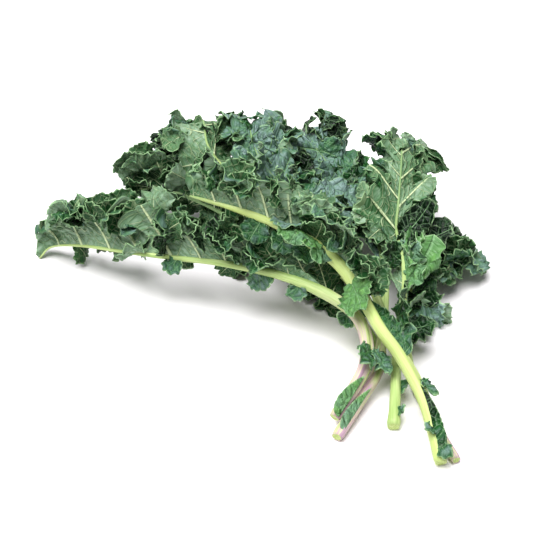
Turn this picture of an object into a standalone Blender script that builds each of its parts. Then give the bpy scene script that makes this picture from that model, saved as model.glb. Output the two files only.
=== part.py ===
"""Curly kale bunch: nine cut leaves lying crossed at their stalks on a flat surface.

Each leaf is one closed solid, lofted along its stalk and midrib: a half-round stalk below, and the two
halves of the blade that grow out of it. Millimetres here become metres when the mesh is made.
+Z is up, the surface under the bunch is z = 0, and the leaf tips point to -X and +Y.
"""

import math

import bmesh
import bpy
import numpy as np
from mathutils import Vector

MM = 0.001

# Driving dimensions, in millimetres and degrees
BLADE_THICKNESS = 1.4
VEIN_SLANT = 34.0          # the blade grows out of the midrib at this angle towards the tip
STATION_SPACING = 12.0     # between cross-sections along a leaf
BLADE_STEPS = 4            # strips across each half of the blade
STALK_STEPS = 5            # points round the underside of the stalk
MIDRIB_LEAST = 1.7         # the midrib's radius stays clear of the blade's two faces

# One entry for each leaf.
#   route    the middle of the stalk and midrib from the cut end to the tip: x, y, z
#   stalk    share of the length and radius of the stalk or midrib there
#   halves   share of the length, then the way the left and the right half of the blade point, in degrees
#            round the midrib: 0 is level to the left of someone walking to the tip, 90 is up, 180 is right
#   left     share of the length and width of the left half there; right likewise
#   curl     how far each half turns towards its upper face by its margin, in degrees
#   ruffle   height of the waves at the margin, their number along the leaf, and where they start
LEAVES = {
    "leaf_front_left": dict(
        route=[(59, -145, 9), (70, -129, 16), (82, -107, 24), (85, -85, 32), (77, -62, 40),
               (52, -41, 46), (16, -21, 48), (-24, -6, 47), (-64, 6, 44), (-106, 23, 38),
               (-145, 46, 28), (-173, 67, 12), (-184, 66, 1)],
        stalk=[(0.0, 4.6), (0.2, 5.2), (0.3, 5.2), (0.42, 3.6), (0.6, 2.2), (0.8, 1.3), (1.0, 0.8)],
        halves=[(0.0, 60, 200), (0.35, 100, 180), (0.6, 122, 180), (1.0, 124, 178)],
        left=[(0.0, 5.2), (0.32, 4.4), (0.38, 12), (0.5, 38), (0.7, 46), (0.85, 48), (0.94, 34), (1.0, 6)],
        right=[(0.0, 5.2), (0.36, 4.2), (0.5, 18), (0.7, 22), (0.88, 20), (0.96, 12), (1.0, 4)],
        curl=10, ruffle=(4, 7, 0.3),
    ),
    "leaf_front_centre": dict(
        route=[(133, -188, 5), (129, -165, 15), (123, -138, 24), (110, -107, 34), (96, -87, 44),
               (83, -59, 53), (68, -35, 64), (49, -21, 74), (24, -11, 84), (-3, -3, 92), (-31, 7, 96),
               (-51, 20, 94)],
        stalk=[(0.0, 4.9), (0.25, 5.5), (0.62, 5.4), (0.8, 3.2), (0.92, 1.7), (1.0, 1.0)],
        halves=[(0.0, 60, 200), (0.5, 105, 175), (1.0, 115, 180)],
        left=[(0.0, 5.2), (0.3, 4.9), (0.38, 14), (0.5, 16), (0.6, 34), (0.8, 40), (0.9, 34), (0.96, 22),
              (1.0, 5)],
        right=[(0.0, 5.2), (0.05, 5), (0.11, 10), (0.2, 10), (0.26, 5), (0.45, 5), (0.6, 18), (0.8, 22),
               (0.93, 16), (1.0, 4)],
        curl=10, ruffle=(4, 6, 0.4),
    ),
    "leaf_upper_left": dict(
        route=[(78, -103, 4), (84, -82, 9), (86, -61, 14), (76, -39, 21), (50, -10, 29), (16, 33, 33),
               (-18, 75, 33), (-44, 101, 33), (-73, 119, 34), (-95, 128, 32), (-107, 128, 27)],
        stalk=[(0.0, 4.0), (0.5, 3.0), (0.8, 1.8), (1.0, 1.0)],
        halves=[(0.0, 60, 200), (0.4, 110, 200), (1.0, 110, 250)],
        left=[(0.0, 4.2), (0.5, 4), (0.66, 9), (0.76, 20), (0.87, 33), (0.94, 40), (1.0, 12)],
        right=[(0.0, 4.2), (0.45, 4), (0.6, 10), (0.8, 20), (0.93, 16), (1.0, 5)],
        curl=0, ruffle=(3, 6, 0.4),
    ),
    "leaf_back_left": dict(
        route=[(105, -47, 5), (98, -24, 9), (82, 6, 14), (55, 37, 24), (25, 66, 38), (-5, 91, 54),
               (-29, 110, 67), (-41, 121, 80), (-45, 149, 85), (-48, 169, 76), (-50, 181, 50),
               (-50, 186, 12)],
        stalk=[(0.0, 4.2), (0.4, 3.2), (0.65, 1.5), (1.0, 1.0)],
        halves=[(0.0, 60, 200), (0.35, 130, 230), (0.55, 180, 340), (0.75, 196, 350), (1.0, 200, 352)],
        left=[(0.0, 4.4), (0.4, 4.2), (0.58, 26), (0.7, 44), (0.85, 40), (0.95, 26), (1.0, 6)],
        right=[(0.0, 4.4), (0.35, 4.2), (0.55, 24), (0.68, 42), (0.85, 42), (0.95, 28), (1.0, 6)],
        curl=0, ruffle=(3, 6, 0.4),
    ),
    "leaf_back_middle": dict(
        route=[(104, -78, 30), (100, -58, 32), (95, -36, 36), (86, -8, 42), (70, 22, 50), (45, 50, 60),
               (20, 76, 70), (4, 98, 79), (-2, 118, 83), (-5, 140, 84), (-5, 157, 79), (-3, 167, 70)],
        stalk=[(0.0, 4.0), (0.4, 2.8), (0.65, 1.3), (1.0, 1.0)],
        halves=[(0.0, 0, 180), (0.5, 8, 176), (0.75, 14, 169), (1.0, 16, 166)],
        left=[(0.0, 4.2), (0.3, 4), (0.5, 18), (0.7, 24), (0.9, 18), (1.0, 6)],
        right=[(0.0, 4.2), (0.3, 4), (0.5, 22), (0.7, 32), (0.88, 32), (0.96, 20), (1.0, 6)],
        curl=0, ruffle=(3, 5, 0.4),
    ),
    "leaf_back_centre": dict(
        route=[(60, -161, 5), (77, -130, 10), (93, -99, 14), (97, -73, 19), (102, -31, 25),
               (104, 5, 31), (99, 40, 38), (85, 74, 50), (65, 110, 62), (48, 131, 77), (43, 151, 75),
               (33, 163, 50), (29, 169, 10)],
        stalk=[(0.0, 4.6), (0.15, 4.4), (0.4, 3.6), (0.52, 2.2), (0.6, 1.2), (1.0, 0.7)],
        halves=[(0.0, -20, 150), (0.4, 10, 170), (0.7, -4, 174), (1.0, -8, 176)],
        left=[(0.0, 4.8), (0.45, 4.2), (0.6, 38), (0.75, 44), (0.88, 38), (0.96, 24), (1.0, 6)],
        right=[(0.0, 4.8), (0.45, 4.2), (0.6, 28), (0.75, 42), (0.88, 38), (0.96, 24), (1.0, 6)],
        curl=0, ruffle=(3, 6, 0.4),
    ),
    "leaf_back_right": dict(
        route=[(102, -150, 4), (105, -121, 10), (108, -87, 15), (112, -54, 23), (118, -21, 32),
               (118, 6, 44), (114, 28, 56), (116, 45, 69), (120, 78, 82), (122, 103, 88),
               (122, 127, 84), (124, 147, 66), (126, 160, 36), (128, 169, 6)],
        stalk=[(0.0, 5.1), (0.05, 4.2), (0.3, 3.1), (0.5, 1.9), (0.7, 1.1), (1.0, 1.0)],
        halves=[(0.0, 160, 340), (0.4, 190, 350), (0.6, 204, 350), (0.76, 222, 350), (1.0, 215, 350)],
        left=[(0.0, 4.6), (0.4, 4.2), (0.5, 22), (0.6, 44), (0.7, 42), (0.78, 34), (0.88, 30), (0.95, 20),
              (1.0, 6)],
        right=[(0.0, 4.6), (0.35, 4.2), (0.5, 30), (0.66, 44), (0.84, 42), (0.95, 26), (1.0, 6)],
        curl=0, ruffle=(3, 6, 0.4),
    ),
    "leaf_low_right": dict(
        route=[(144, -184, 4), (137, -162, 4), (129, -134, 5), (121, -99, 6), (119, -59, 7),
               (121, -19, 9), (127, 7, 13), (140, 28, 18), (157, 44, 19), (174, 55, 12), (189, 52, 3)],
        stalk=[(0.0, 3.6), (0.5, 2.5), (0.8, 1.4), (1.0, 1.0)],
        halves=[(0.0, 0, 180), (0.5, 20, 170), (1.0, 10, 180)],
        left=[(0.0, 3.8), (0.5, 3.6), (0.66, 24), (0.8, 26), (0.92, 22), (1.0, 6)],
        right=[(0.0, 3.8), (0.44, 3.6), (0.53, 28), (0.62, 24), (0.76, 26), (0.88, 28), (0.96, 18), (1.0, 5)],
        curl=0, ruffle=(3, 6, 0.4),
    ),
    "leaf_underneath": dict(
        route=[(96, -61, 4), (87, -30, 4), (69, 2, 5), (37, 38, 5), (-1, 69, 5), (-36, 92, 4),
               (-66, 102, 3)],
        stalk=[(0.0, 3.6), (0.4, 2.5), (0.8, 1.3), (1.0, 1.0)],
        halves=[(0.0, 180, 350), (1.0, 180, 355)],
        left=[(0.0, 4), (0.15, 6), (0.4, 24), (0.7, 28), (0.9, 18), (1.0, 5)],
        right=[(0.0, 4), (0.12, 6), (0.25, 18), (0.4, 14), (0.54, 14), (0.68, 30), (0.82, 30), (0.93, 16),
               (1.0, 5)],
        curl=0, ruffle=(2, 6, 0.4),
    ),
}


def smooth_route(points, spacing):
    """Positions and directions along a smooth curve through the points, about spacing apart."""
    points = np.array(points, float)
    ends = np.vstack([2 * points[0] - points[1], points, 2 * points[-1] - points[-2]])
    fine = []
    for i in range(1, len(ends) - 2):
        p0, p1, p2, p3 = ends[i - 1:i + 3]
        for u in np.linspace(0, 1, 20, endpoint=False):
            fine.append(0.5 * (2 * p1 + (p2 - p0) * u + (2 * p0 - 5 * p1 + 4 * p2 - p3) * u * u
                               + (3 * p1 - 3 * p2 + p3 - p0) * u ** 3))
    fine = np.array(fine + [points[-1]])
    along = np.concatenate([[0], np.cumsum(np.linalg.norm(np.diff(fine, axis=0), axis=1))])
    count = round(along[-1] / spacing) + 1
    share = np.linspace(0, 1, count)
    place = np.array([np.interp(share * along[-1], along, fine[:, k]) for k in range(3)]).T
    ahead = np.gradient(place, axis=0)
    return share, place, ahead / np.linalg.norm(ahead, axis=1)[:, None]


def eased(pairs, share):
    """A value read from (share, value) pairs, with no corners between them."""
    at = [p[0] for p in pairs]
    value = [p[1] for p in pairs]
    i = max(0, min(len(at) - 2, int(np.searchsorted(at, share, side="right")) - 1))
    u = (share - at[i]) / (at[i + 1] - at[i])
    u = u * u * (3 - 2 * u)
    return value[i] + (value[i + 1] - value[i]) * u


def pointing(level, upward, angle):
    return math.cos(math.radians(angle)) * level + math.sin(math.radians(angle)) * upward


def blade_half(leaf, side, share, centre, ahead, level, upward, radius):
    """Upper and lower points of one half of the blade, from the midrib to the margin."""
    sign = 1 if side == "left" else -1
    angle = eased([(h[0], h[1 if side == "left" else 2]) for h in leaf["halves"]], share)
    width = eased(leaf[side], share)
    height, waves, begin = leaf["ruffle"]
    phase = 0 if side == "left" else 1.3
    start = radius * 0.8
    point = centre + start * pointing(level, upward, angle)
    upper, lower = [], []
    for step in range(BLADE_STEPS + 1):
        v = step / BLADE_STEPS
        turned = angle + sign * leaf["curl"] * v
        face = pointing(level, upward, turned + sign * 90)
        if step:
            slant = math.radians(VEIN_SLANT) * min(1, (width - start) / 15)
            out = math.cos(slant) * pointing(level, upward, turned) + math.sin(slant) * ahead
            point = point + out * (width - start) / BLADE_STEPS
        grown = min(1, max(0, (share - begin) / 0.15)) * min(1, width / 20)
        wave = grown * height * v * v * math.sin(2 * math.pi * waves * share + phase)
        middle = point + wave * face
        reach = abs(face[2]) * BLADE_THICKNESS / 2
        middle[2] = max(middle[2], reach)
        upper.append(middle + face * BLADE_THICKNESS / 2)
        lower.append(middle - face * BLADE_THICKNESS / 2)
    return upper, lower


def leaf_sections(leaf):
    """Closed cross-sections of the leaf, all with the same number of points."""
    shares, places, aheads = smooth_route(leaf["route"], STATION_SPACING)
    sections = []
    for share, centre, ahead in zip(shares, places, aheads):
        level = np.cross((0, 0, 1), ahead)
        level = level / np.linalg.norm(level)
        upward = np.cross(ahead, level)
        radius = max(MIDRIB_LEAST, eased(leaf["stalk"], share))
        left_up, left_low = blade_half(leaf, "left", share, centre, ahead, level, upward, radius)
        right_up, right_low = blade_half(leaf, "right", share, centre, ahead, level, upward, radius)
        left_angle = eased([(h[0], h[1]) for h in leaf["halves"]], share)
        right_angle = eased([(h[0], h[2]) for h in leaf["halves"]], share) - 360
        groove = centre + radius * 0.15 * pointing(level, upward, (left_angle + right_angle + 360) / 2)
        below = [centre + radius * pointing(level, upward, left_angle + (right_angle - left_angle) * u)
                 for u in np.linspace(0, 1, STALK_STEPS + 2)[1:-1]]
        sections.append(right_up[::-1] + [groove] + left_up + left_low[::-1] + below + right_low)
    return sections


def make_leaf(name, leaf, colour):
    sections = leaf_sections(leaf)
    mesh = bmesh.new()
    rings = []
    for section in sections:
        rings.append([mesh.verts.new(Vector((p[0], p[1], max(p[2], 0))) * MM) for p in section])
    for back, front in zip(rings, rings[1:]):
        for i in range(len(back)):
            j = (i + 1) % len(back)
            mesh.faces.new((back[i], back[j], front[j], front[i]))
    mesh.faces.new(rings[0][::-1])
    mesh.faces.new(rings[-1])
    bmesh.ops.triangulate(mesh, faces=mesh.faces)
    bmesh.ops.recalc_face_normals(mesh, faces=mesh.faces)
    data = bpy.data.meshes.new(name)
    mesh.to_mesh(data)
    mesh.free()
    data.shade_smooth()
    obj = bpy.data.objects.new(name, data)
    obj.data.materials.append(colour)
    bpy.context.scene.collection.objects.link(obj)
    return obj


def leaf_green():
    material = bpy.data.materials.new("kale_green")
    material.use_nodes = True
    shader = material.node_tree.nodes["Principled BSDF"]
    shader.inputs["Base Color"].default_value = (0.09, 0.19, 0.08, 1)
    shader.inputs["Roughness"].default_value = 0.55
    shader.inputs["Metallic"].default_value = 0.0
    return material


def main():
    for obj in list(bpy.data.objects):
        bpy.data.objects.remove(obj)
    green = leaf_green()
    for name, leaf in LEAVES.items():
        make_leaf(name, leaf, green)


main()
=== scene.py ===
import math

import bpy
import numpy as np
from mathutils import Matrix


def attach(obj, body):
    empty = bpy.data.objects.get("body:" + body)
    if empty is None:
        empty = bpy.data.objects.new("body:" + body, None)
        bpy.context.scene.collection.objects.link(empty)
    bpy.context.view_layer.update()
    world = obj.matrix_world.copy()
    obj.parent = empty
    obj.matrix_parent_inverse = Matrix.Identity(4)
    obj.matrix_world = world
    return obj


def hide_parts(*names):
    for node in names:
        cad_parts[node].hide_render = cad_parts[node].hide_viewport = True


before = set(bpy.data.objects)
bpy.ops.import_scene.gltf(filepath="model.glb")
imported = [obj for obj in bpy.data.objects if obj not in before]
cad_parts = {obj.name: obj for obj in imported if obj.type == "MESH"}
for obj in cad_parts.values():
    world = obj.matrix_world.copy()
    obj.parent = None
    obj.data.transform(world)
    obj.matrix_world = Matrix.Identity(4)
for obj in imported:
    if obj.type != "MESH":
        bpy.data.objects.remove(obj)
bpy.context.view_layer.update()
mm = 0.001


class Wire:
    def __init__(self, tree, socket=None):
        self.tree, self.socket = tree, socket

    def make(self, kind, settings=None, values=None, out=0):
        node = self.tree.nodes.new(kind)
        for name, value in (settings or {}).items():
            setattr(node, name, value)
        for name, value in (values or {}).items():
            if isinstance(value, Wire):
                self.tree.links.new(value.socket, node.inputs[name])
            else:
                node.inputs[name].default_value = value
        return Wire(self.tree, node.outputs[out])

    def combine(self, operation, first, second=0.0):
        return self.make("ShaderNodeMath", {"operation": operation}, {0: first, 1: second})

    def __add__(self, other):
        return self.combine("ADD", self, other)

    def __radd__(self, other):
        return self.combine("ADD", other, self)

    def __sub__(self, other):
        return self.combine("SUBTRACT", self, other)

    def __rsub__(self, other):
        return self.combine("SUBTRACT", other, self)

    def __mul__(self, other):
        return self.combine("MULTIPLY", self, other)

    def __rmul__(self, other):
        return self.combine("MULTIPLY", other, self)

    def __truediv__(self, other):
        return self.combine("DIVIDE", self, other)

    def __abs__(self):
        return self.combine("ABSOLUTE", self)

    def most(self, other):
        return self.combine("MAXIMUM", self, other)

    def fraction(self):
        return self.combine("FRACT", self)

    def ease(self, low, high):  # 0 below low, 1 above high
        return self.make("ShaderNodeMapRange", {"interpolation_type": "SMOOTHSTEP"},
                         {"Value": self, "From Min": low, "From Max": high})

    def mix(self, colour, other):  # self is how much of the other colour
        return self.make("ShaderNodeMix", {"data_type": "RGBA"}, {0: self, 6: colour, 7: other}, 2)

    def parts(self):  # the three numbers of a vector
        node = self.make("ShaderNodeSeparateXYZ", {}, {0: self}).socket.node
        return [Wire(self.tree, socket) for socket in node.outputs]

    def noise(self, scale, detail):
        return self.make("ShaderNodeTexNoise", {}, {"Vector": self, "Scale": scale, "Detail": detail})

    def stretch(self, factors):
        return self.make("ShaderNodeVectorMath", {"operation": "MULTIPLY"}, {0: self, 1: factors})

    def cells(self, size):  # distance to the nearest border between cells of about this size, in cells
        return self.make("ShaderNodeTexVoronoi", {"feature": "DISTANCE_TO_EDGE"},
                         {"Vector": self, "Scale": 1 / size, "Randomness": 1.0})


def paint(red, green, blue):  # a colour as it looks on screen, made linear
    return tuple((c / 255 / 12.92 if c < 10.3 else ((c / 255 + 0.055) / 1.055) ** 2.4)
                 for c in (red, green, blue)) + (1.0,)


waxShine = 0.28  # the wax on a leaf scatters most of its shine


def newMaterial(name, colour, roughness):
    material = bpy.data.materials.new(name)
    material.use_nodes = True
    material.diffuse_color = colour
    shader = material.node_tree.nodes["Principled BSDF"]
    shader.inputs["Base Color"].default_value = colour
    shader.inputs["Roughness"].default_value = roughness
    shader.inputs["Specular IOR Level"].default_value = waxShine
    return material, shader, Wire(material.node_tree)


def connect(wire, shader, name):
    wire.tree.links.new(wire.socket, shader.inputs[name])


def bumped(shader, height, strength, distance):
    bump = height.make("ShaderNodeBump", {}, {"Height": height, "Strength": strength, "Distance": distance})
    connect(bump, shader, "Normal")


leafPaint = {
    "topDark": paint(1, 26, 6), "topGreen": paint(30, 94, 34), "topFresh": paint(112, 164, 84),
    "waxAndHighlight": paint(126, 150, 148),  # the blue-grey wax of the upper side, laid on thickest at the blister tops as a painted highlight
    "underDark": paint(14, 62, 20), "underGreen": paint(74, 118, 72), "underFresh": paint(126, 162, 106),
    "underPale": paint(158, 180, 158),
    "vein": paint(204, 220, 170), "topVein": paint(124, 166, 116),
    # rim is a painted highlight, pale green where the margins catch the light; rimDark is the margin's dark
    # green where none is painted
    "rim": paint(170, 208, 152), "rimDark": paint(46, 96, 44),
    "mainVein": 0.24, "sideVein": 0.12,  # half widths at the margin, mm
    "branchSpacing": 11.0,  # between the side veins of a lobe, mm
    "netSize": 7.0, "fineNetSize": 2.6,  # cells between the smallest veins, mm
}


def leafMasks(start):  # masks of 0 to 1 that both sides of a leaf are painted with
    veins = start.make("ShaderNodeAttribute", {"attribute_name": "veins"}, out=1)
    place = start.make("ShaderNodeAttribute", {"attribute_name": "place"}, out=1)
    away, branch, margin = veins.parts()
    tone = place.parts()[2]
    flat = place.stretch((1.0, 1.0, 0.0))
    main = 1 - (away / (leafPaint["mainVein"] + margin * 0.016)).ease(0.6, 1.4)
    toBranch = (0.5 - abs(branch.fraction() - 0.5)) * leafPaint["branchSpacing"]
    side = 1 - (toBranch / (leafPaint["sideVein"] + margin * 0.012)).ease(0.6, 1.6)
    cells = flat.cells(leafPaint["netSize"])
    return {
        "main": main, "side": side, "net": 1 - cells.ease(0.015, 0.06),
        "cells": cells, "fine": flat.cells(leafPaint["fineNetSize"]), "tone": tone,
        "patch": flat.noise(0.05, 3.0), "grain": flat.noise(0.5, 4.0),
        "fresh": (flat.noise(0.035, 2.0) * 0.6 + (tone - 1).most(0.0)).ease(0.38, 0.8),
        # rim: a painted highlight along the margin, broken up by noise
        "rim": (1 - margin.ease(0.1, 0.85)) * flat.noise(0.12, 2.0).ease(0.35, 0.6),
    }


def groundColour(m, dark, green):  # the mottled green under veins, wax and the margin's painted highlight
    return (m["patch"] * 0.8 + m["grain"] * 0.5 + m["tone"] * 0.4).ease(0.4, 0.95).mix(dark, green)


def makeTop():
    material, shader, start = newMaterial("leaf_top", leafPaint["topGreen"], 0.42)
    m = leafMasks(start)
    colour = groundColour(m, leafPaint["topDark"], leafPaint["topGreen"])
    # the wax is real, but the cells term lays it on most in the middle of each blister cell: a painted
    # highlight on the blister tops and painted shade in the valleys between them
    waxAndHighlight = (m["patch"] * 0.6 + m["cells"] * 0.9 + m["grain"] * 0.3 + m["tone"] * 0.55).ease(0.55, 1.35)
    colour = (waxAndHighlight * 0.85 * (1 - m["fresh"] * 0.8)).mix(colour, leafPaint["waxAndHighlight"])
    colour = (m["fresh"] * (0.4 + m["cells"])).mix(colour, leafPaint["topFresh"])
    veins = (m["main"] * 0.9).most(m["side"] * 0.55).most(m["net"] * 0.25)
    colour = veins.mix(colour, leafPaint["topVein"])
    # the margin's painted highlight
    colour = (m["rim"] * (0.3 + m["grain"] * 0.7)).mix(colour, leafPaint["rim"])
    connect(colour, shader, "Base Color")
    connect(0.26 + m["grain"] * 0.25, shader, "Roughness")
    blisters = m["cells"].ease(0.0, 0.35) + m["fine"].ease(0.0, 0.3) * 0.25
    bumped(shader, blisters - m["main"] * 0.6 - m["side"] * 0.4, 1.0, 0.0016)
    return material


def makeUnder():
    material, shader, start = newMaterial("leaf_underside", leafPaint["underGreen"], 0.55)
    m = leafMasks(start)
    colour = groundColour(m, leafPaint["underDark"], leafPaint["underGreen"])
    pale = (m["grain"] * 0.6 + m["cells"] * 0.7 + m["tone"] * 0.45).ease(0.3, 1.1)
    colour = (pale * 0.85).mix(colour, leafPaint["underPale"])
    colour = (m["fresh"] * 0.5).mix(colour, leafPaint["underFresh"])
    veins = m["main"].most(m["side"] * 0.5).most(m["net"] * 0.2)
    colour = (veins * 0.85).mix(colour, leafPaint["vein"])
    # the margin's painted highlight
    colour = (m["rim"] * (0.3 + m["grain"] * 0.6)).mix(colour, leafPaint["rim"])
    connect(colour, shader, "Base Color")
    connect(0.5 + m["grain"] * 0.2, shader, "Roughness")
    relief = m["main"] + m["side"] * 0.8 + m["net"] * 0.4 - m["cells"] * 0.7 - m["fine"] * 0.2
    bumped(shader, relief, 0.9, 0.0012)
    return material


# the sheet's thin edge, mottled between dark green and a painted highlight where it catches the light
def makeRimHighlight():
    material, shader, start = newMaterial("leaf_rim_highlight", leafPaint["rim"], 0.5)
    place = start.make("ShaderNodeAttribute", {"attribute_name": "place"}, out=1)
    mottle = place.noise(0.06, 2.0).ease(0.38, 0.66) * 0.75 + place.noise(0.3, 3.0).ease(0.4, 0.7) * 0.25
    connect(mottle.mix(leafPaint["rimDark"], leafPaint["rim"]), shader, "Base Color")
    return material


stalkPaint = {
    "green": paint(148, 176, 100), "yellow": paint(176, 196, 112), "pale": paint(208, 222, 156),
    "cream": paint(226, 222, 168), "blush": paint(184, 150, 172), "leafy": paint(112, 148, 100),
    "cut": paint(158, 180, 92), "pith": paint(200, 214, 150),
}


def makeStalk(name, shade, blush):
    material, shader, start = newMaterial(name, shade, 0.42)
    skin = start.make("ShaderNodeAttribute", {"attribute_name": "skin"}, out=1)
    age = skin.parts()[2]  # 1 at the cut end, 0 along the stalk, -1 where the midrib takes the blade's colour
    fibre = skin.stretch((1.1, 0.035, 0.0)).noise(1.0, 4.0)
    cloud = skin.stretch((0.12, 0.02, 0.0)).noise(1.0, 3.0)
    colour = (fibre * 0.6 + cloud * 0.8).ease(0.5, 1.1).mix(shade, stalkPaint["pale"])
    if blush:
        low = age.most(0.0)
        colour = (low * cloud.ease(0.25, 0.6)).mix(colour, stalkPaint["cream"])
        colour = (low * (fibre * 0.7 + cloud * 0.8).ease(0.58, 0.86) * blush).mix(colour, stalkPaint["blush"])
    colour = ((0 - age).most(0.0) * 0.75).mix(colour, stalkPaint["leafy"])
    connect(colour, shader, "Base Color")
    connect(0.36 + fibre * 0.2, shader, "Roughness")
    bumped(shader, fibre, 0.25, 0.0005)
    return material


def makeCut():
    material, shader, start = newMaterial("stalk_cut", stalkPaint["cut"], 0.5)
    point = start.make("ShaderNodeTexCoord", {}, out=3)
    grain = point.noise(900.0, 3.0)
    connect(grain.ease(0.35, 0.7).mix(stalkPaint["cut"], stalkPaint["pith"]), shader, "Base Color")
    bumped(shader, grain, 0.4, 0.0005)
    return material


topFinish, underFinish, rimHighlightFinish, cutFinish = makeTop(), makeUnder(), makeRimHighlight(), makeCut()
stalkFinish = {"green": makeStalk("stalk_green", stalkPaint["green"], 0),
               "yellow": makeStalk("stalk_yellow", stalkPaint["yellow"], 0),
               "blushed": makeStalk("stalk_blushed", stalkPaint["green"], 1.0)}
print("finishes made")


def smooth(u):
    return u * u * (3 - 2 * u)


def eased(pairs, share):  # a value read from (share, value) pairs, with no corners between them
    at, value = np.array([p[0] for p in pairs]), np.array([p[1] for p in pairs], float)
    k = np.clip(np.searchsorted(at, share, side="right") - 1, 0, len(at) - 2)
    u = smooth(np.clip((share - at[k]) / (at[k + 1] - at[k]), 0, 1))
    return value[k] + (value[k + 1] - value[k]) * u


def unit(vectors):
    return vectors / np.linalg.norm(vectors, axis=-1, keepdims=True)


def wander(x, seed, waves=4):  # smooth noise of about -1 to 1, one hump for each unit of x
    dice = np.random.default_rng(seed)
    total = 0
    for _ in range(waves):
        total = total + np.sin(2 * math.pi * (x * dice.uniform(0.45, 1.25) + dice.uniform()))
    return total / math.sqrt(waves)


lobeCount = {"before": 20, "inAll": 80}  # lobes are counted from before the blade begins, for strips there


def perLobe(lobe, seed):  # a random value for each lobe, turning smoothly into the next
    values = np.random.default_rng(seed).uniform(-1, 1, lobeCount["inAll"])
    at = np.clip(lobe - 0.5 + lobeCount["before"], 0, lobeCount["inAll"] - 2)
    k = at.astype(int)
    u = smooth(at - k)
    return values[k] * (1 - u) + values[k + 1] * u


def routeOf(leaf):  # a smooth curve through the route's points
    points = np.array(leaf["route"], float)
    ends = np.vstack([2 * points[0] - points[1], points, 2 * points[-1] - points[-2]])
    u = np.linspace(0, 1, 24, endpoint=False)[:, None]
    fine = []
    for a, b, c, d in zip(ends, ends[1:], ends[2:], ends[3:]):
        square, cube = 2 * a - 5 * b + 4 * c - d, 3 * b - 3 * c + d - a
        fine.append(0.5 * (2 * b + (c - a) * u + square * u ** 2 + cube * u ** 3))
    fine = np.vstack(fine + [points[-1:]])
    along = np.concatenate([[0], np.cumsum(np.linalg.norm(np.diff(fine, axis=0), axis=1))])
    return along[-1], along / along[-1], fine, unit(np.gradient(fine, axis=0))


def frames(leaf, share):
    _, at, fine, ahead = leaf["path"]
    place = np.array([np.interp(share, at, fine[:, k]) for k in range(3)]).T
    ahead = unit(np.array([np.interp(share, at, ahead[:, k]) for k in range(3)]).T)
    level = unit(np.cross((0, 0, 1), ahead))
    return place, ahead, level, np.cross(ahead, level)


def pointing(level, upward, angle):  # degrees round the midrib: 0 is left, 90 up, 180 right
    angle = np.radians(angle)[..., None]
    return np.cos(angle) * level + np.sin(angle) * upward


def radiusAt(leaf, share):
    return eased(leaf["stalk"], share)


def sideAngle(leaf, side, share):
    return eased([(h[0], h[1 if side == "left" else 2]) for h in leaf["halves"]], share)


blade = {
    "thickness": 0.5, "columnSpacing": 0.72, "rowSpacing": 1.1, "wingRows": 12,
    "tip": 1.02,  # share of the length where the last lobe ends
    "fan": 26.0,  # how far a lobe spreads to both sides, in degrees
    "waves": [(23.0, 7.0, 2.2), (10.0, 3.6, 4.0), (4.8, 1.0, 8.0)],  # length, height, power of growth
    "edgeCurl": 70, "lobeTilt": 7, "lobeVariety": 0.12, "toneVariety": 0.35,
    "teeth": 3, "tooth": 3.4,  # on each lobe, and their height
    "pillow": 1.5, "pillowSpacing": 8.0, "veinGroove": 0.9, "grooveWidth": 1.3,
    "plain": 6, "grownOver": 14, "slantOver": 15,  # a half narrower than plain, mm, has no frills or lobes
    "start": 0.8, "lift": 0,  # where a half leaves the stalk, in radii
}


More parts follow.
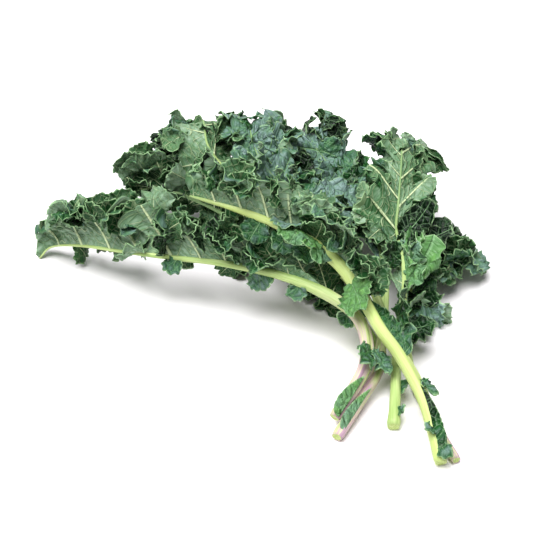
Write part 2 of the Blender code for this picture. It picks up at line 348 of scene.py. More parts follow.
def halfBlade(leaf, side, share, width, rows):  # points, veins and marks, from the midrib to the margin
    sign = 1 if side == "left" else -1
    seed = leaf["seed"] * 100 + (0 if side == "left" else 50)
    length = leaf["path"][0]
    place, ahead, level, upward = frames(leaf, share)
    radius = radiusAt(leaf, share)
    angle = sideAngle(leaf, side, share)
    grown = np.clip((width - blade["plain"]) / blade["grownOver"], 0, 1)

    lobes = leaf["lobes"]
    parts = np.cumsum(np.concatenate([[0], np.random.default_rng(seed).uniform(0.75, 1.25, lobes)]))
    edges = leaf["bladeFrom"] + (blade["tip"] - leaf["bladeFrom"]) * parts / parts[-1]
    edges = np.concatenate([[edges[0] - lobeCount["before"] * (edges[1] - edges[0])], edges])
    lobe = np.interp(share, edges, np.concatenate([[-lobeCount["before"]], np.arange(lobes + 1)]))
    turn = lobe - np.floor(lobe)
    lobeLength = (blade["tip"] - leaf["bladeFrom"]) / lobes * length
    notch = leaf["notch"] * grown * eased([(0, 1), (0.85, 0.75), (1, 0.3)], share)
    reach = width * (1 - notch * (1 - np.sqrt(np.sin(math.pi * turn))))
    reach = reach * (1 + blade["lobeVariety"] * perLobe(lobe, seed + 1) * grown)
    tooth = np.abs(np.sin(math.pi * (lobe * blade["teeth"] + 0.3 * wander(lobe, seed + 2))))
    reach = reach + grown * blade["tooth"] * (tooth - 0.5)

    start, lift = radius * leaf.get("start", blade["start"]), radius * leaf.get("lift", blade["lift"])
    point = place + start[:, None] * pointing(level, upward, angle)
    point = point + lift[:, None] * pointing(level, upward, angle + sign * 90)
    v = np.linspace(0, 1, rows)
    points, faces = [], []
    fold = (leaf["lean"] + leaf["fold"] * perLobe(lobe, seed + 3)) * grown
    edgeCurl = blade["edgeCurl"] * wander(lobe * 1.3, seed + 4) * grown
    for k in range(rows):
        turned = angle + sign * (leaf["curl"] * v[k] + fold * v[k] ** 1.5 + edgeCurl * v[k] ** 5)
        if k:
            slant = leaf["slant"] * np.clip((width - start) / blade["slantOver"], 0, 1)
            slant = np.radians(slant + blade["fan"] * grown * v[k] * np.sin(2 * math.pi * (turn - 0.5)))
            out = np.cos(slant)[:, None] * pointing(level, upward, turned) + np.sin(slant)[:, None] * ahead
            point = point + out * ((reach - start) / (rows - 1))[:, None]
        points.append(point)
        faces.append(pointing(level, upward, turned + sign * 90))
    points, faces = np.array(points), np.array(faces)
    v = v[:, None]

    rise, sway = 0, 0
    for n, (waveLength, height, power) in enumerate(blade["waves"]):
        phase = share * length / waveLength + 0.35 * wander(lobe * 1.7, seed + 10 + n)
        phase = 2 * math.pi * (phase + (0.25 - 0.2 * n) * v)
        size = height * leaf["frill"] * grown * (0.75 + 0.3 * wander(lobe * 2.1, seed + 20 + n))
        rise = rise + size * v ** power * np.sin(phase)
        sway = sway + 0.38 * size * v ** (power + 1) * np.sin(2 * phase)
    tilt = blade["lobeTilt"] * grown * np.sin(2 * math.pi * (turn - 0.5)) * perLobe(lobe, seed + 5)
    rise = rise + v ** 1.5 * tilt

    away = np.abs(turn - 0.5) * lobeLength * (0.75 + 0.5 * v)
    across = v * reach
    branch = (across - 0.85 * away) / leafPaint["branchSpacing"]
    branch = branch + 0.22 * wander(lobe * 1.9 + across * 0.03, seed + 6)
    cross = away / blade["pillowSpacing"] + 0.25 * wander(across * 0.08 + lobe, seed + 7)
    dome = np.abs(np.sin(math.pi * branch)) ** 0.8 * (0.45 + 0.55 * np.abs(np.sin(math.pi * cross)) ** 0.8)
    dome = dome * np.clip(away / 3, 0, 1) * grown * np.clip(v * 6, 0, 1)
    rise = rise + blade["pillow"] * leaf["blister"] * dome
    rise = rise - blade["veinGroove"] * np.exp(-(away / blade["grooveWidth"]) ** 2) * (1.1 - v) * grown
    points = points + rise[..., None] * faces + sway[..., None] * ahead[None]

    tone = leaf["tone"] + blade["toneVariety"] * perLobe(lobe, seed + 8) + 0 * v
    veins = np.stack([away, branch, (1 - v) * reach], -1)
    mark = np.stack([share * length + seed * 3.7 + 0 * v, across, tone], -1)
    return points, veins, mark


lobeShape = {
    "spacing": 0.95,
    "front": 0.3,  # how far the sides of the lobe's end fall back, as a share of its length
    "waves": [(17.0, 3.2, 1.6), (8.0, 1.4, 3.0), (4.2, 0.45, 6.0)],  # length, height, power of growth
    "tooth": 1.6, "toothSpacing": 5.5, "blister": 0.6, "cup": 0.12,
    "branchSpacing": 6.0,
}


def curledLobe(base, out, face, length, width, curl, seed, tone):  # a frilled lobe that grows along out
    across = np.cross(out, face)
    rows = max(8, int(length / lobeShape["spacing"]))
    columns = max(10, int(1.2 * width / lobeShape["spacing"]))
    u, w = np.linspace(0, 1, rows)[:, None], np.linspace(-1, 1, columns)[None]
    half = width / 2 * (0.25 + 0.75 * np.sin(math.pi * (0.08 + 0.62 * u)))
    t = u * (1 - lobeShape["front"] * w ** 2)
    margin = 1 - (1 - np.abs(w) ** 2.5) * (1 - u ** 2.5)
    around = np.arctan2(half * w, (t - 0.3) * length)  # the way the margin faces there
    along = around * (0.3 * length + 0.3 * width)

    bend = math.radians(curl if abs(curl) > 1 else 1)
    forward, lift = length * np.sin(bend * t) / bend, length * (1 - np.cos(bend * t)) / bend
    normal = np.cos(bend * t)[..., None] * face - np.sin(bend * t)[..., None] * out
    spread = half * w
    rise = lobeShape["cup"] * width * np.random.default_rng(seed).uniform(-1, 1) * w ** 2
    for n, (waveLength, height, power) in enumerate(lobeShape["waves"]):
        phase = 2 * math.pi * (along / waveLength + 0.4 * wander(along / 30, seed + n))
        size = height * min(1.0, length / 18) * (0.8 + 0.3 * wander(along / 20, seed + 10 + n))
        rise = rise + size * margin ** power * np.sin(phase)
        sway = 0.35 * size * margin ** (power + 1) * np.sin(2 * phase)
        forward, spread = forward - sway * np.sin(around), spread + sway * np.cos(around)
    tooth = lobeShape["tooth"] * margin ** 8 * np.abs(np.sin(math.pi * along / lobeShape["toothSpacing"]))
    forward, spread = forward + tooth * np.cos(around), spread + tooth * np.sin(around)
    away = np.abs(half * w)
    branch = (t * length - 0.8 * away) / lobeShape["branchSpacing"]
    dome = np.abs(np.sin(math.pi * branch)) * np.clip(away / 3, 0, 1) * (1 - margin ** 4)
    rise = rise + lobeShape["blister"] * dome
    points = (base + forward[..., None] * out + lift[..., None] * face + spread[..., None] * across
              + rise[..., None] * normal)
    veins = np.stack([away, branch, (1 - margin) * 0.5 * min(length, width)], -1)
    mark = np.stack([spread + seed * 3.7, t * length, tone + 0 * t * w], -1)
    return points, veins, mark


# a lobe placed one by one: share of the leaf's length, degrees round the stalk, slant to the tip, length,
# width,
# curl, roll, and then how much paler it is than its leaf and how far above the stalk's middle it starts
def stalkLobe(leaf, seed, share, angle, slant, length, width, curl, roll, tone=0.0, lift=0.3):
    place, ahead, level, upward = (value[0] for value in frames(leaf, np.array([share])))
    away = pointing(level, upward, np.array([angle]))[0]
    slant, roll = math.radians(slant), math.radians(roll)
    out = math.cos(slant) * away + math.sin(slant) * ahead
    side = math.cos(slant) * ahead - math.sin(slant) * away
    face = np.cross(side, out)
    face = face if face[2] > 0 else -face
    face = math.cos(roll) * face + math.sin(roll) * side
    base = place + radiusAt(leaf, share) * (0.6 * away + lift * face)
    return curledLobe(base, out, face, length, width, curl, seed, leaf["tone"] + tone)


wildShape = {
    "leastBlade": 14, "end": 0.93,  # none where the blade is narrower, mm, or past this share of its length
    "tilt": (10, 65), "turn": 40, "curl": 70,
    "length": (9, 15), "width": (14, 22, 5),  # least, more with size, and for the width at random
    "toneSpread": 0.9,
}


def wildLobes(leaf, side, sheet, count, lowest):  # folded extra growth of the margin
    dice = np.random.default_rng(leaf["seed"] * 100 + (70 if side == "left" else 80))
    points, _, mark = sheet
    rows = len(points)
    wide = np.nonzero(mark[-1, :, 1] > wildShape["leastBlade"])[0]
    wide = wide[3:int(wildShape["end"] * len(wide))]
    leastLength, moreLength = wildShape["length"]
    leastWidth, moreWidth, anyWidth = wildShape["width"]
    found = []
    for n in range(count):
        row = max(2, int(rows * dice.uniform(lowest, 0.92)))
        column = int(dice.choice(wide))
        tilt = math.radians(dice.uniform(*wildShape["tilt"]) * dice.choice((-1, 1)))
        turn = math.radians(dice.uniform(-wildShape["turn"], wildShape["turn"]))
        size = dice.uniform() ** 1.6
        length = leastLength + moreLength * size
        width = leastWidth + moreWidth * size + dice.uniform(0, anyWidth)
        curl = dice.uniform(-wildShape["curl"], wildShape["curl"])
        out = unit(points[row, column] - points[row - 2, column])
        along = unit(points[row, column + 2] - points[row, column - 2])
        face = unit(np.cross(along, out)) * (1 if side == "left" else -1)
        out = math.cos(tilt) * (math.cos(turn) * out + math.sin(turn) * along) + math.sin(tilt) * face
        if points[row, column, 2] > leaf["crest"]:  # lobes on the crest of the bunch hang over
            out[2] = 0.3 * out[2] - 0.35
            length, curl = 0.8 * length, 0.3 * curl
        out = unit(out)
        face = unit(face - face @ out * out)
        spread = wildShape["toneSpread"]  # lobes at the margin are paler than those further in
        tone = leaf["wildTone"] + dice.uniform(-spread, spread) + spread * (row / rows - 0.7)
        found.append(curledLobe(points[row, column], out, face, length, width, curl, leaf["seed"] * 100 + n,
                                tone))
    return found


crown = {  # the bunch's top is held under a slope that falls away to the back, with a height for each x
    "slope": 36.0, "soft": 6.0, "push": 0.7,
    "height": [(-125, 122), (-105, 143), (-86, 152), (-70, 166), (-45, 170), (55, 168), (72, 163), (90, 157),
               (108, 156), (122, 148), (140, 136), (152, 124), (165, 108), (200, 80)],
}
surface = {"soft": 0.6, "clearance": 0.1}


def ramp(value, soft):  # value above 0 and nearly 0 below it, with no corner between
    return 0.5 * (value + np.sqrt(value ** 2 + soft ** 2))


def settle(points):  # nothing goes below the surface the bunch lies on, or far above its crown
    slope = math.radians(crown["slope"])
    above = points[..., 2] * math.cos(slope) + points[..., 1] * math.sin(slope)
    above = crown["push"] * ramp(above - eased(crown["height"], points[..., 0]), crown["soft"])
    points[..., 1] -= above * math.sin(slope)
    points[..., 2] -= above * math.cos(slope)
    points[..., 2] = ramp(points[..., 2], surface["soft"]) + surface["clearance"]
    return points


def pick(mesh, kind, wanted):  # selects the edges or faces that wanted says, and stays in edit mode
    bpy.ops.object.mode_set(mode="EDIT")
    bpy.ops.mesh.select_mode(type=kind)
    bpy.ops.mesh.select_all(action="DESELECT")
    bpy.ops.object.mode_set(mode="OBJECT")
    for item in mesh.edges if kind == "EDGE" else mesh.polygons:
        item.select = wanted(item)
    bpy.ops.object.mode_set(mode="EDIT")


def store(mesh, name, values):  # what the materials read: veins, place and skin
    layer = mesh.attributes.new(name, "FLOAT_VECTOR", "POINT")
    layer.data.foreach_set("vector", np.ascontiguousarray(values, np.float32).ravel())


def makeSheet(name, points, veins, mark):  # a grid moved to these points
    rows, columns = points.shape[:2]
    bpy.ops.object.select_all(action="DESELECT")
    bpy.ops.mesh.primitive_grid_add(x_subdivisions=columns - 1, y_subdivisions=rows - 1, size=2)
    grid = bpy.context.object
    grid.name = name
    grid.data.vertices.foreach_set("co", (settle(points) * mm).astype(np.float32).ravel())
    store(grid.data, "veins", veins)
    store(grid.data, "place", mark)
    return grid


def thicken(grids):  # joins the sheets and gives them a wall with a top, an underside and a rim, whose finish is a painted highlight
    bpy.ops.object.select_all(action="DESELECT")
    for grid in grids:
        grid.select_set(True)
    grid = grids[0]
    bpy.context.view_layer.objects.active = grid
    if len(grids) > 1:
        bpy.ops.object.join()
    for finish in (topFinish, underFinish, rimHighlightFinish):
        grid.data.materials.append(finish)
    shell = grid.modifiers.new("thickness", "SOLIDIFY")
    shell.thickness, shell.offset = blade["thickness"] * mm, 0.0
    shell.material_offset, shell.material_offset_rim = 1, 2
    bpy.ops.object.modifier_apply(modifier=shell.name)
    bpy.ops.object.shade_smooth()
    return grid


def makeBlade(leaf):
    length = leaf["path"][0]
    rows = int(max(value for _, value in leaf["left"] + leaf["right"]) / blade["rowSpacing"])
    begin = leaf["bladeFrom"] - 0.03
    share = np.linspace(begin, 1, int((1 - begin) * length / blade["columnSpacing"]))
    left = halfBlade(leaf, "left", share, eased(leaf["left"], share), rows)
    right = halfBlade(leaf, "right", share, eased(leaf["right"], share), rows)
    place, _, level, upward = frames(leaf, share)
    middle = (sideAngle(leaf, "left", share) + sideAngle(leaf, "right", share)) / 2
    middle = place + (0.2 * radiusAt(leaf, share))[:, None] * pointing(level, upward, middle)
    points = np.concatenate([right[0][::-1], middle[None], left[0]])
    veins = np.concatenate([right[1][::-1], left[1][:1], left[1]])
    mark = np.concatenate([right[2][::-1], left[2][:1], left[2]])
    sheet = thicken([makeSheet(leaf["name"] + "_blade", points, veins, mark)])

    lobes = (wildLobes(leaf, "left", left, leaf["wild"][0], leaf["wild"][2])
             + wildLobes(leaf, "right", right, leaf["wild"][1], leaf["wild"][2]))
    for n, spec in enumerate(leaf["lobesOnStalk"]):
        lobes.append(stalkLobe(leaf, leaf["seed"] * 100 + 40 + n, *spec))
    for side, begin, end, width, angle, start, lift, frill, tone in leaf["wings"]:  # strips along the stalk
        share = np.linspace(begin, end, int((end - begin) * length / blade["columnSpacing"]))
        profile = width * np.sin(math.pi * np.linspace(0.01, 0.98, len(share)) ** 0.5) ** 0.7
        strip = dict(leaf, tone=tone, frill=frill, fold=60 * frill, lean=0, notch=0.4 * frill, curl=0,
                     start=start, lift=lift, halves=[(0, angle, angle), (1, angle, angle)])
        wing = halfBlade(strip, side, share, radiusAt(leaf, share) * start + profile, blade["wingRows"])
        lobes.append(wing if side == "left" else tuple(part[:, ::-1] for part in wing))
    grids = [makeSheet(leaf["name"] + "_lobes", *lobe) for lobe in lobes]
    return sheet, thicken(grids)


stalk = {
    "sides": 28, "ringSpacing": 4.2,
    "ribs": 7, "rib": 0.015, "channel": 0.4,  # the channel runs along the side that the blade closes
    "endRound": 0.85, "cutDent": 1.2, "flare": 0.05, "flareLength": 12,
}


def makeStem(leaf):
    length = leaf["path"][0]
    bpy.ops.object.select_all(action="DESELECT")
    bpy.ops.mesh.primitive_cylinder_add(vertices=stalk["sides"], radius=1, depth=1, end_fill_type="NGON")
    tube = bpy.context.object
    tube.name = leaf["name"] + "_stalk"
    mesh = tube.data
    pick(mesh, "EDGE", lambda edge: abs(np.subtract(*[mesh.vertices[k].co.z for k in edge.vertices])) > 0.5)
    bpy.ops.mesh.subdivide(number_cuts=int(length / stalk["ringSpacing"]))
    bpy.ops.object.mode_set(mode="OBJECT")
    pick(mesh, "FACE", lambda face: len(face.vertices) > 4)
    bpy.ops.mesh.inset(thickness=0.12)
    bpy.ops.mesh.inset(thickness=0.3)
    bpy.ops.object.mode_set(mode="OBJECT")

    co = np.empty(len(mesh.vertices) * 3, np.float32)
    mesh.vertices.foreach_get("co", co)
    co = co.reshape(-1, 3)
    share = np.clip(co[:, 2] + 0.5, 0, 1)
    size = np.hypot(co[:, 0], co[:, 1])
    turn = np.degrees(np.arctan2(co[:, 1], co[:, 0]))
    place, ahead, level, upward = frames(leaf, share)
    left, right = sideAngle(leaf, "left", share), sideAngle(leaf, "right", share)
    away = np.abs((turn - (left + right) / 2 + 180) % 360 - 180)
    channel = np.clip(1 - away / ((right - left) / 2), 0, 1)
    radius = radiusAt(leaf, share) * (1 - stalk["channel"] * channel ** 1.3)
    radius = radius * (1 + stalk["rib"] * np.cos(np.radians(away * stalk["ribs"])) * (1 - channel))
    flare = 1 + stalk["flare"] * np.exp(-share * length / stalk["flareLength"])
    end = np.where(share < 0.5, share * length / 1.5, (1 - share) * length / 2.5).clip(None, 1)
    radius = radius * flare * (stalk["endRound"] + (1 - stalk["endRound"]) * np.sqrt(end))
    dent = np.where(share < 0.5, stalk["cutDent"] * np.clip(1 - size / 0.75, 0, 1), 0)
    points = place + (radius * size)[:, None] * pointing(level, upward, turn) + dent[:, None] * ahead
    mesh.vertices.foreach_set("co", (settle(points) * mm).astype(np.float32).ravel())
    fade = leaf["fade"]
    age = eased([(0.0, 1), (0.1, 1), (0.36, 0), (0.37, 0), (fade, 0), (fade + 0.2, -1)], share)
    store(mesh, "skin", np.stack([np.abs(turn) * 0.08, share * length, age], -1))
    mesh.materials.append(stalkFinish[leaf["skin"]])
    mesh.materials.append(cutFinish)
    for face in mesh.polygons:
        near = max(share[k] for k in face.vertices)
        face.material_index = int(near == 0 and max(size[k] for k in face.vertices) < 0.95)
    bpy.ops.object.shade_smooth()
    return tube


def makeLeaf(leaf):
    leaf["path"] = routeOf(leaf)
    sheet, lobes = makeBlade(leaf)
    stem = makeStem(leaf)
    for piece, slot in ((sheet, "kale_leaf"), (lobes, "kale_leaf"), (stem, "kale_stalk")):
        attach(piece, "root")
        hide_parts(leaf["name"])
    sizes = [2 * len(piece.data.polygons) for piece in (sheet, lobes)]
    print(leaf["name"], "made,", *sizes, "triangles in its blade and lobes")


# One dictionary for each leaf, in millimetres, degrees and shares of its length from the cut end.
#   route           the middle of the stalk and midrib from the cut end to the tip
#   stalk           share and radius;  left, right: share and width of that half of the blade
#   halves          share, and the way each half points round the midrib: 0 left, 90 up, 180 right
#   lean, fold      how far the lobes fold over, in general and at random
#   wild            random lobes left and right, and the share of the width where they start
#   crest           lobes above this height hang over;  blister: height of the blade's blisters
#   tone, wildTone  -1 is dark, 1 blue-grey, and more is fresh green
#   fade            share where the midrib starts to take the blade's colour
#   wings           side, begin, end, width, angle, start and lift in radii, frill, tone
frontLeft = {
    "name": "leaf_front_left",
    "route": [(59, -145, 9), (70, -129, 16), (82, -107, 24), (85, -85, 32), (77, -62, 40), (52, -41, 46),
              (16, -21, 48), (-24, -6, 47), (-64, 6, 44), (-106, 23, 38), (-145, 46, 28), (-173, 67, 12),
              (-184, 66, 1)],
    "stalk": [(0.0, 4.6), (0.2, 5.2), (0.3, 5.2), (0.42, 3.6), (0.6, 2.2), (0.8, 1.3), (1.0, 0.8)],
    "halves": [(0.0, 60, 200), (0.35, 100, 180), (0.6, 122, 180), (1.0, 124, 178)],
    "left": [(0.0, 5.2), (0.32, 4.4), (0.38, 12), (0.5, 38), (0.7, 46), (0.84, 44), (0.92, 27), (1.0, 5)],
    "right": [(0.0, 5.2), (0.36, 4.2), (0.5, 18), (0.7, 22), (0.88, 20), (0.96, 12), (1.0, 4)],
    "curl": 10, "seed": 1, "bladeFrom": 0.36, "lobes": 10, "notch": 0.5, "lean": -35, "fold": 75,
    "frill": 1.1, "tone": 0.5, "skin": "blushed", "fade": 1.0,
    "wild": (46, 18, 0.55), "wildTone": -0.1, "crest": 200, "blister": 1.0, "slant": 34,
    "lobesOnStalk": [(0.63, 320, 20, 14, 16, 30, 0), (0.7, 60, 60, 24, 24, -60, 0),
                     (0.16, 35, -80, 24, 15, 30, 0, -0.3, 1.0), (0.155, 215, -62, 22, 14, 30, 0, 0, 1.0),
                     (0.145, 215, -25, 15, 14, 30, 0, 0, 0.9), (0.46, 285, -20, 14, 22, 30, 0),
                     (0.25, 285, -10, 10, 16, 30, 0, -0.6), (0.375, 290, -20, 12, 16, 30, 0)],
    "wings": [("left", 0.001, 0.095, 9.5, 35, -0.3, 1.0, 0.4, 1.55)],
}
makeLeaf(frontLeft)


frontCentre = {
    "name": "leaf_front_centre",
    "route": [(133, -188, 5), (129, -165, 15), (123, -138, 24), (110, -107, 34), (96, -87, 44),
              (83, -59, 53), (68, -35, 64), (49, -21, 74), (24, -11, 84), (-3, -3, 92), (-31, 7, 96),
              (-51, 20, 94)],
    "stalk": [(0.0, 4.9), (0.25, 5.5), (0.62, 5.4), (0.8, 3.2), (0.92, 1.7), (1.0, 1.0)],
    "halves": [(0.0, 60, 200), (0.5, 105, 175), (1.0, 115, 180)],
    "left": [(0.0, 5.2), (0.3, 4.9), (0.38, 14), (0.5, 16), (0.6, 34), (0.8, 40), (0.9, 34), (0.96, 22),
             (1.0, 5)],
    "right": [(0.0, 5.2), (0.05, 5), (0.11, 10), (0.2, 10), (0.26, 5), (0.45, 5), (0.6, 18), (0.8, 22),
              (0.93, 16), (1.0, 4)],
    "curl": 10, "seed": 2, "bladeFrom": 0.5, "lobes": 8, "notch": 0.5, "lean": -20, "fold": 70, "frill": 1.0,
    "tone": 0.35, "skin": "yellow", "fade": 0.85,
    "wild": (46, 20, 0.3), "wildTone": 0.1, "crest": 200, "blister": 1.0, "slant": 34,
    "lobesOnStalk": [(0.515, 40, -80, 33, 30, 30, 90, 1.7), (0.68, 62, -10, 20, 24, -95, 0, 1.5),
                     (0.7, 60, 10, 26, 30, -100, 0, 1.0), (0.73, 75, 20, 18, 24, -95, 0, 0.7),
                     (0.66, 88, 0, 26, 30, -40, 0, -0.5), (0.65, 40, -30, 20, 24, -80, 0, 0.9),
                     (0.48, 170, 30, 18, 20, 30, 0), (0.21, 170, -75, 18, 8, 30, 20),
                     (0.09, 40, -60, 11, 8, 40, 20), (0.03, 163, -70, 10, 10, 30, 0, 0, 1.0),
                     (0.72, 300, 20, 16, 20, 30, 0), (0.8, 290, 10, 18, 22, 40, 0),
                     (0.66, 310, 20, 14, 18, 40, 0)],
    "wings": [("right", 0.012, 0.2, 9, 163, -0.1, 0.9, 0.25, -0.1),
              ("right", 0.28, 0.45, 13, 165, 0.5, 0.3, 0.9, 0.3)],
}
makeLeaf(frontCentre)


upperLeft = {
    "name": "leaf_upper_left",
    "route": [(78, -103, 4), (84, -82, 9), (86, -61, 14), (76, -39, 21), (50, -10, 29), (16, 33, 33),
              (-18, 75, 33), (-44, 101, 33), (-73, 119, 34), (-95, 128, 32), (-107, 128, 27)],
    "stalk": [(0.0, 4.0), (0.5, 3.0), (0.8, 1.8), (1.0, 1.0)],
    "halves": [(0.0, 60, 200), (0.4, 110, 200), (1.0, 110, 250)],
    "left": [(0.0, 4.2), (0.5, 4), (0.66, 9), (0.76, 20), (0.87, 33), (0.94, 40), (1.0, 12)],
    "right": [(0.0, 4.2), (0.45, 4), (0.6, 10), (0.8, 20), (0.93, 16), (1.0, 5)],
    "curl": 0, "seed": 3, "bladeFrom": 0.55, "lobes": 6, "notch": 0.5, "lean": 0, "fold": 60, "frill": 0.9,
    "tone": -0.4, "skin": "green", "fade": 0.45,
    "wild": (30, 14, 0.3), "wildTone": 0.15, "crest": 200, "blister": 1.0, "slant": 34,
    "lobesOnStalk": [(0.3, 80, 20, 24, 28, 40, 60), (0.38, 60, 10, 26, 30, 40, 40),
                     (0.46, 100, 30, 26, 30, -40, 50), (0.54, 70, 20, 26, 32, 40, 40),
                     (0.62, 90, 20, 26, 30, -30, 60), (0.98, 0, 75, 20, 24, 30, 0),
                     (0.9, 20, 40, 24, 28, -40, 0, -0.6), (0.84, 10, 50, 24, 26, 40, 30, -0.8),
                     (0.95, 60, 60, 22, 26, -30, 0, -0.4)],
    "wings": [],
}
makeLeaf(upperLeft)


backLeft = {
    "name": "leaf_back_left",
    "route": [(105, -47, 5), (98, -24, 9), (82, 6, 14), (55, 37, 24), (25, 66, 38), (-5, 91, 54),
              (-29, 110, 67), (-41, 121, 80), (-45, 149, 85), (-48, 169, 76), (-50, 181, 50),
              (-50, 186, 12)],
    "stalk": [(0.0, 4.2), (0.4, 3.0), (0.6, 1.2), (0.7, 0.9), (1.0, 0.6)],
    "halves": [(0.0, 60, 200), (0.35, 130, 230), (0.55, 180, 340), (0.75, 196, 350), (1.0, 200, 352)],
    "left": [(0.0, 4.4), (0.4, 4.2), (0.58, 26), (0.7, 44), (0.85, 40), (0.95, 26), (1.0, 6)],
    "right": [(0.0, 4.4), (0.35, 4.2), (0.55, 24), (0.68, 42), (0.85, 42), (0.95, 28), (1.0, 6)],
    "curl": 0, "seed": 4, "bladeFrom": 0.42, "lobes": 7, "notch": 0.45, "lean": 0, "fold": 60, "frill": 1.0,
    "tone": 0.4, "skin": "green", "fade": 0.6,
    "wild": (40, 40, 0.2), "wildTone": 0.1, "crest": 55, "blister": 1.0, "slant": 34,
    "lobesOnStalk": [],
    "wings": [],
}
makeLeaf(backLeft)


backMiddle = {
    "name": "leaf_back_middle",
    "route": [(104, -78, 30), (100, -58, 32), (95, -36, 36), (86, -8, 42), (70, 22, 50), (45, 50, 60),
              (20, 76, 70), (4, 98, 79), (-2, 118, 83), (-5, 140, 84), (-5, 157, 79), (-3, 167, 70)],
    "stalk": [(0.0, 4.0), (0.4, 2.4), (0.55, 1.2), (0.7, 0.8), (1.0, 0.6)],
    "halves": [(0.0, 0, 180), (0.5, 8, 176), (0.75, 14, 169), (1.0, 16, 166)],
    "left": [(0.0, 4.2), (0.3, 4), (0.5, 18), (0.7, 24), (0.9, 18), (1.0, 6)],
    "right": [(0.0, 4.2), (0.3, 4), (0.5, 22), (0.7, 32), (0.88, 32), (0.96, 20), (1.0, 6)],
    "curl": 0, "seed": 9, "bladeFrom": 0.4, "lobes": 6, "notch": 0.35, "lean": 0, "fold": 25, "frill": 0.5,
    "tone": 0.8, "skin": "green", "fade": 0.4,
    "wild": (26, 26, 0.2), "wildTone": 0.5, "crest": 60, "blister": 2.6, "slant": 34,
    "lobesOnStalk": [(0.74, 90, -62, 34, 40, -60, 0, 0.2), (0.64, 80, -50, 28, 34, -50, 0, 0.1),
                     (0.82, 110, -60, 26, 32, -70, 0, 0.2)],
    "wings": [],
}
makeLeaf(backMiddle)


backCentre = {
    "name": "leaf_back_centre",
    "route": [(60, -161, 5), (77, -130, 10), (93, -99, 14), (97, -73, 19), (102, -31, 25), (104, 5, 31),
              (99, 40, 38), (85, 74, 50), (65, 110, 62), (48, 131, 77), (43, 151, 75), (33, 163, 50),
              (29, 169, 10)],
    "stalk": [(0.0, 4.6), (0.15, 4.4), (0.4, 3.2), (0.5, 1.2), (0.6, 0.6), (1.0, 0.4)],
    "halves": [(0.0, -20, 150), (0.4, 10, 170), (0.7, -4, 174), (1.0, -8, 176)],
    "left": [(0.0, 4.8), (0.45, 4.2), (0.6, 38), (0.75, 44), (0.88, 38), (0.96, 24), (1.0, 6)],
    "right": [(0.0, 4.8), (0.45, 4.2), (0.6, 28), (0.75, 42), (0.88, 38), (0.96, 24), (1.0, 6)],
    "curl": 0, "seed": 5, "bladeFrom": 0.48, "lobes": 7, "notch": 0.4, "lean": 0, "fold": 40, "frill": 0.7,
    "tone": 0.8, "skin": "blushed", "fade": 0.35,
    "wild": (40, 40, 0.25), "wildTone": -0.4, "crest": 55, "blister": 2.2, "slant": 34,
    # the lobes round 150 to 170 degrees get tones of -1 to -1.8, painted shade for the deep shade over this
    # leaf's right half
    "lobesOnStalk": [(0.52, 150, 0, 24, 30, 40, 0, -1), (0.58, 160, 0, 26, 30, -40, 0, -1),
                     (0.58, 32, 20, 48, 50, -25, 0, 0.2), (0.7, 60, -40, 30, 36, -60, 0, 0.1),
                     (0.62, 165, -10, 34, 40, -50, 0, -1.8), (0.54, 170, 10, 30, 34, -30, 0, -1.6),
                     (0.66, 150, -30, 28, 34, -50, 0, -1.2), (0.76, 130, -60, 24, 30, -70, 0, -0.3)],
    "wings": [("left", 0.012, 0.12, 7.5, 35, -0.3, 0.9, 0.4, 1.55)],
}
makeLeaf(backCentre)


backRight = {
    "name": "leaf_back_right",
    "route": [(102, -150, 4), (105, -121, 10), (108, -87, 15), (112, -54, 23), (118, -21, 32),
              (118, 6, 44), (114, 28, 56), (116, 45, 69), (120, 78, 82), (122, 103, 88), (122, 127, 84),
              (124, 147, 66), (126, 160, 36), (128, 169, 6)],
    "stalk": [(0.0, 5.1), (0.05, 4.2), (0.28, 3.0), (0.4, 1.9), (0.5, 1.2), (0.6, 0.8), (1.0, 0.5)],
    "halves": [(0.0, 160, 340), (0.4, 190, 350), (0.6, 204, 350), (0.76, 222, 350), (1.0, 215, 350)],
    "left": [(0.0, 4.6), (0.34, 3.2), (0.42, 20), (0.5, 34), (0.6, 46), (0.7, 50), (0.85, 30),
             (0.95, 12), (1.0, 5)],
    "right": [(0.0, 4.6), (0.33, 3.2), (0.4, 24), (0.5, 40), (0.56, 36), (0.64, 25), (0.8, 16),
              (0.95, 12), (1.0, 5)],
    "curl": 0, "seed": 6, "bladeFrom": 0.33, "lobes": 11, "notch": 0.3, "lean": 0, "fold": 40, "frill": 1.0,
    "tone": 0.25, "skin": "green", "fade": 0.4,
    "wild": (44, 34, 0.45), "wildTone": 0, "crest": 50, "blister": 1.0, "slant": 56,
    "lobesOnStalk": [(0.4, 168, 40, 22, 24, 50, 30, 1.0), (0.45, 165, 60, 20, 22, -50, 0, 0.8),
                     (0.37, 160, 10, 18, 20, 40, 0, 1.1), (0.445, 186, 8, 44, 20, 40, 0, -1.2),
                     (0.45, 180, 22, 58, 24, -30, 0, -0.7), (0.46, 176, 36, 44, 22, 50, 0, -1.4),
                     (0.41, 20, 30, 20, 24, 40, 0, -0.5), (0.3, 120, 20, 20, 24, 40, 20, -0.5, 0.9),
                     (0.265, 95, -20, 22, 24, -50, 0, -0.2, 0.9),
                     (0.22, 150, -30, 20, 20, 50, 0, 0.3, 0.9), (0.245, 190, 10, 26, 22, 40, 0, -0.6),
                     (0.1, 180, -20, 8, 12, 60, 0), (0.03, 150, 10, 8, 8, 30, 0)],
    "wings": [("right", 0.33, 0.46, 40, 176, 0.5, 0.3, 1.1, 1.35),
              ("right", 0.36, 0.44, 24, 150, 0.5, 0.3, 1.1, 1.2)],
}
makeLeaf(backRight)


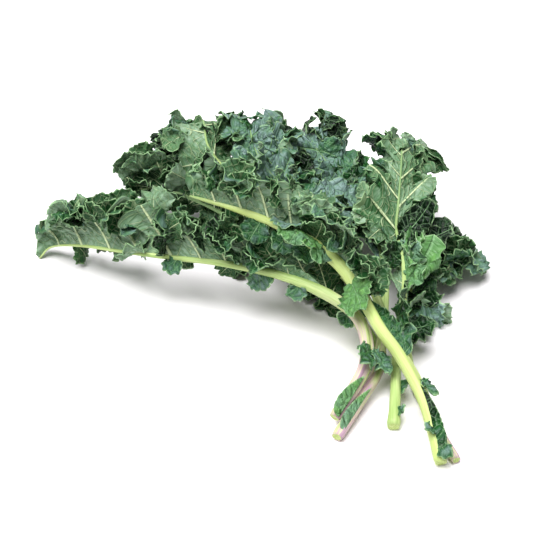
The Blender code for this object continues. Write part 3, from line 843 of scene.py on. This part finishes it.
lowRight = {
    "name": "leaf_low_right",
    "route": [(144, -184, 4), (137, -162, 4), (129, -134, 5), (121, -99, 6), (119, -59, 7),
              (121, -19, 9), (127, 7, 13), (140, 28, 18), (157, 44, 19), (174, 55, 12), (189, 52, 3)],
    "stalk": [(0.0, 3.6), (0.5, 2.5), (0.8, 1.4), (1.0, 1.0)],
    "halves": [(0.0, 0, 180), (0.5, 20, 170), (1.0, 10, 180)],
    "left": [(0.0, 3.8), (0.5, 3.6), (0.66, 10), (0.8, 16), (0.92, 12), (1.0, 3)],
    "right": [(0.0, 3.8), (0.44, 3.6), (0.53, 28), (0.62, 24), (0.76, 26), (0.88, 24), (0.96, 9),
              (1.0, 3)],
    "curl": 0, "seed": 7, "bladeFrom": 0.48, "lobes": 7, "notch": 0.5, "lean": 0, "fold": 60, "frill": 1.0,
    "tone": 0.5, "skin": "blushed", "fade": 1.0,
    "wild": (8, 24, 0.3), "wildTone": 0.45, "crest": 200, "blister": 1.0, "slant": 34,
    "lobesOnStalk": [],
    "wings": [],
}
makeLeaf(lowRight)


underneath = {
    "name": "leaf_underneath",
    "route": [(96, -61, 4), (87, -30, 4), (69, 2, 5), (37, 38, 5), (-1, 69, 5), (-36, 92, 4),
              (-66, 102, 3)],
    "stalk": [(0.0, 3.6), (0.4, 2.5), (0.8, 1.3), (1.0, 1.0)],
    "halves": [(0.0, 180, 350), (1.0, 180, 355)],
    "left": [(0.0, 4), (0.15, 6), (0.4, 24), (0.7, 28), (0.9, 18), (1.0, 5)],
    "right": [(0.0, 4), (0.12, 6), (0.25, 18), (0.4, 14), (0.54, 14), (0.68, 30), (0.82, 30), (0.93, 16),
              (1.0, 5)],
    "curl": 0, "seed": 8, "bladeFrom": 0.2, "lobes": 8, "notch": 0.5, "lean": 0, "fold": 30, "frill": 0.8,
    "tone": -0.6, "skin": "green", "fade": 1.0,
    "wild": (14, 14, 0.4), "wildTone": -0.6, "crest": 200, "blister": 1.0, "slant": 34,
    "lobesOnStalk": [],
    "wings": [],
}
makeLeaf(underneath)


studio = {"target": (0.012, 0.009, 0.03), "distance": 1.15, "lens": 95, "elevation": 36,
          "floorSize": 6, "floorColour": (0.96, 0.93, 0.95, 1), "floorRoughness": 0.9,
          "sensor": 36, "sky": 0.2, "sunFrom": (-0.24, -0.12, 1.0), "sunAngle": 56, "sunStrength": 5.6}


def makeStudio():
    bpy.ops.object.select_all(action="DESELECT")
    bpy.ops.mesh.primitive_plane_add(size=studio["floorSize"])
    floor = bpy.context.object
    floor.name = "floor"
    material, shader, _ = newMaterial("pale_floor", studio["floorColour"], studio["floorRoughness"])
    shader.inputs["Specular IOR Level"].default_value = 0.0
    floor.data.materials.append(material)

    world = bpy.data.worlds.new("studio")
    world.use_nodes = True
    world.node_tree.nodes["Background"].inputs[0].default_value = (1, 1, 1, 1)
    world.node_tree.nodes["Background"].inputs[1].default_value = studio["sky"]
    bpy.context.scene.world = world

    bpy.ops.object.light_add(type="SUN", location=studio["sunFrom"])
    sun = bpy.context.object
    sun.name = "soft_key"
    sun.data.angle, sun.data.energy = math.radians(studio["sunAngle"]), studio["sunStrength"]
    sun.rotation_euler = sun.location.to_track_quat("Z", "Y").to_euler()

    elevation = math.radians(studio["elevation"])
    target = studio["target"]
    back, up = studio["distance"] * math.cos(elevation), studio["distance"] * math.sin(elevation)
    bpy.ops.object.camera_add(location=(target[0], target[1] - back, target[2] + up),
                              rotation=(math.pi / 2 - elevation, 0, 0))
    camera = bpy.context.object
    camera.data.lens, camera.data.sensor_width = studio["lens"], studio["sensor"]
    bpy.context.scene.camera = camera
    bpy.context.scene.view_settings.view_transform = "Standard"


makeStudio()
print("studio made")
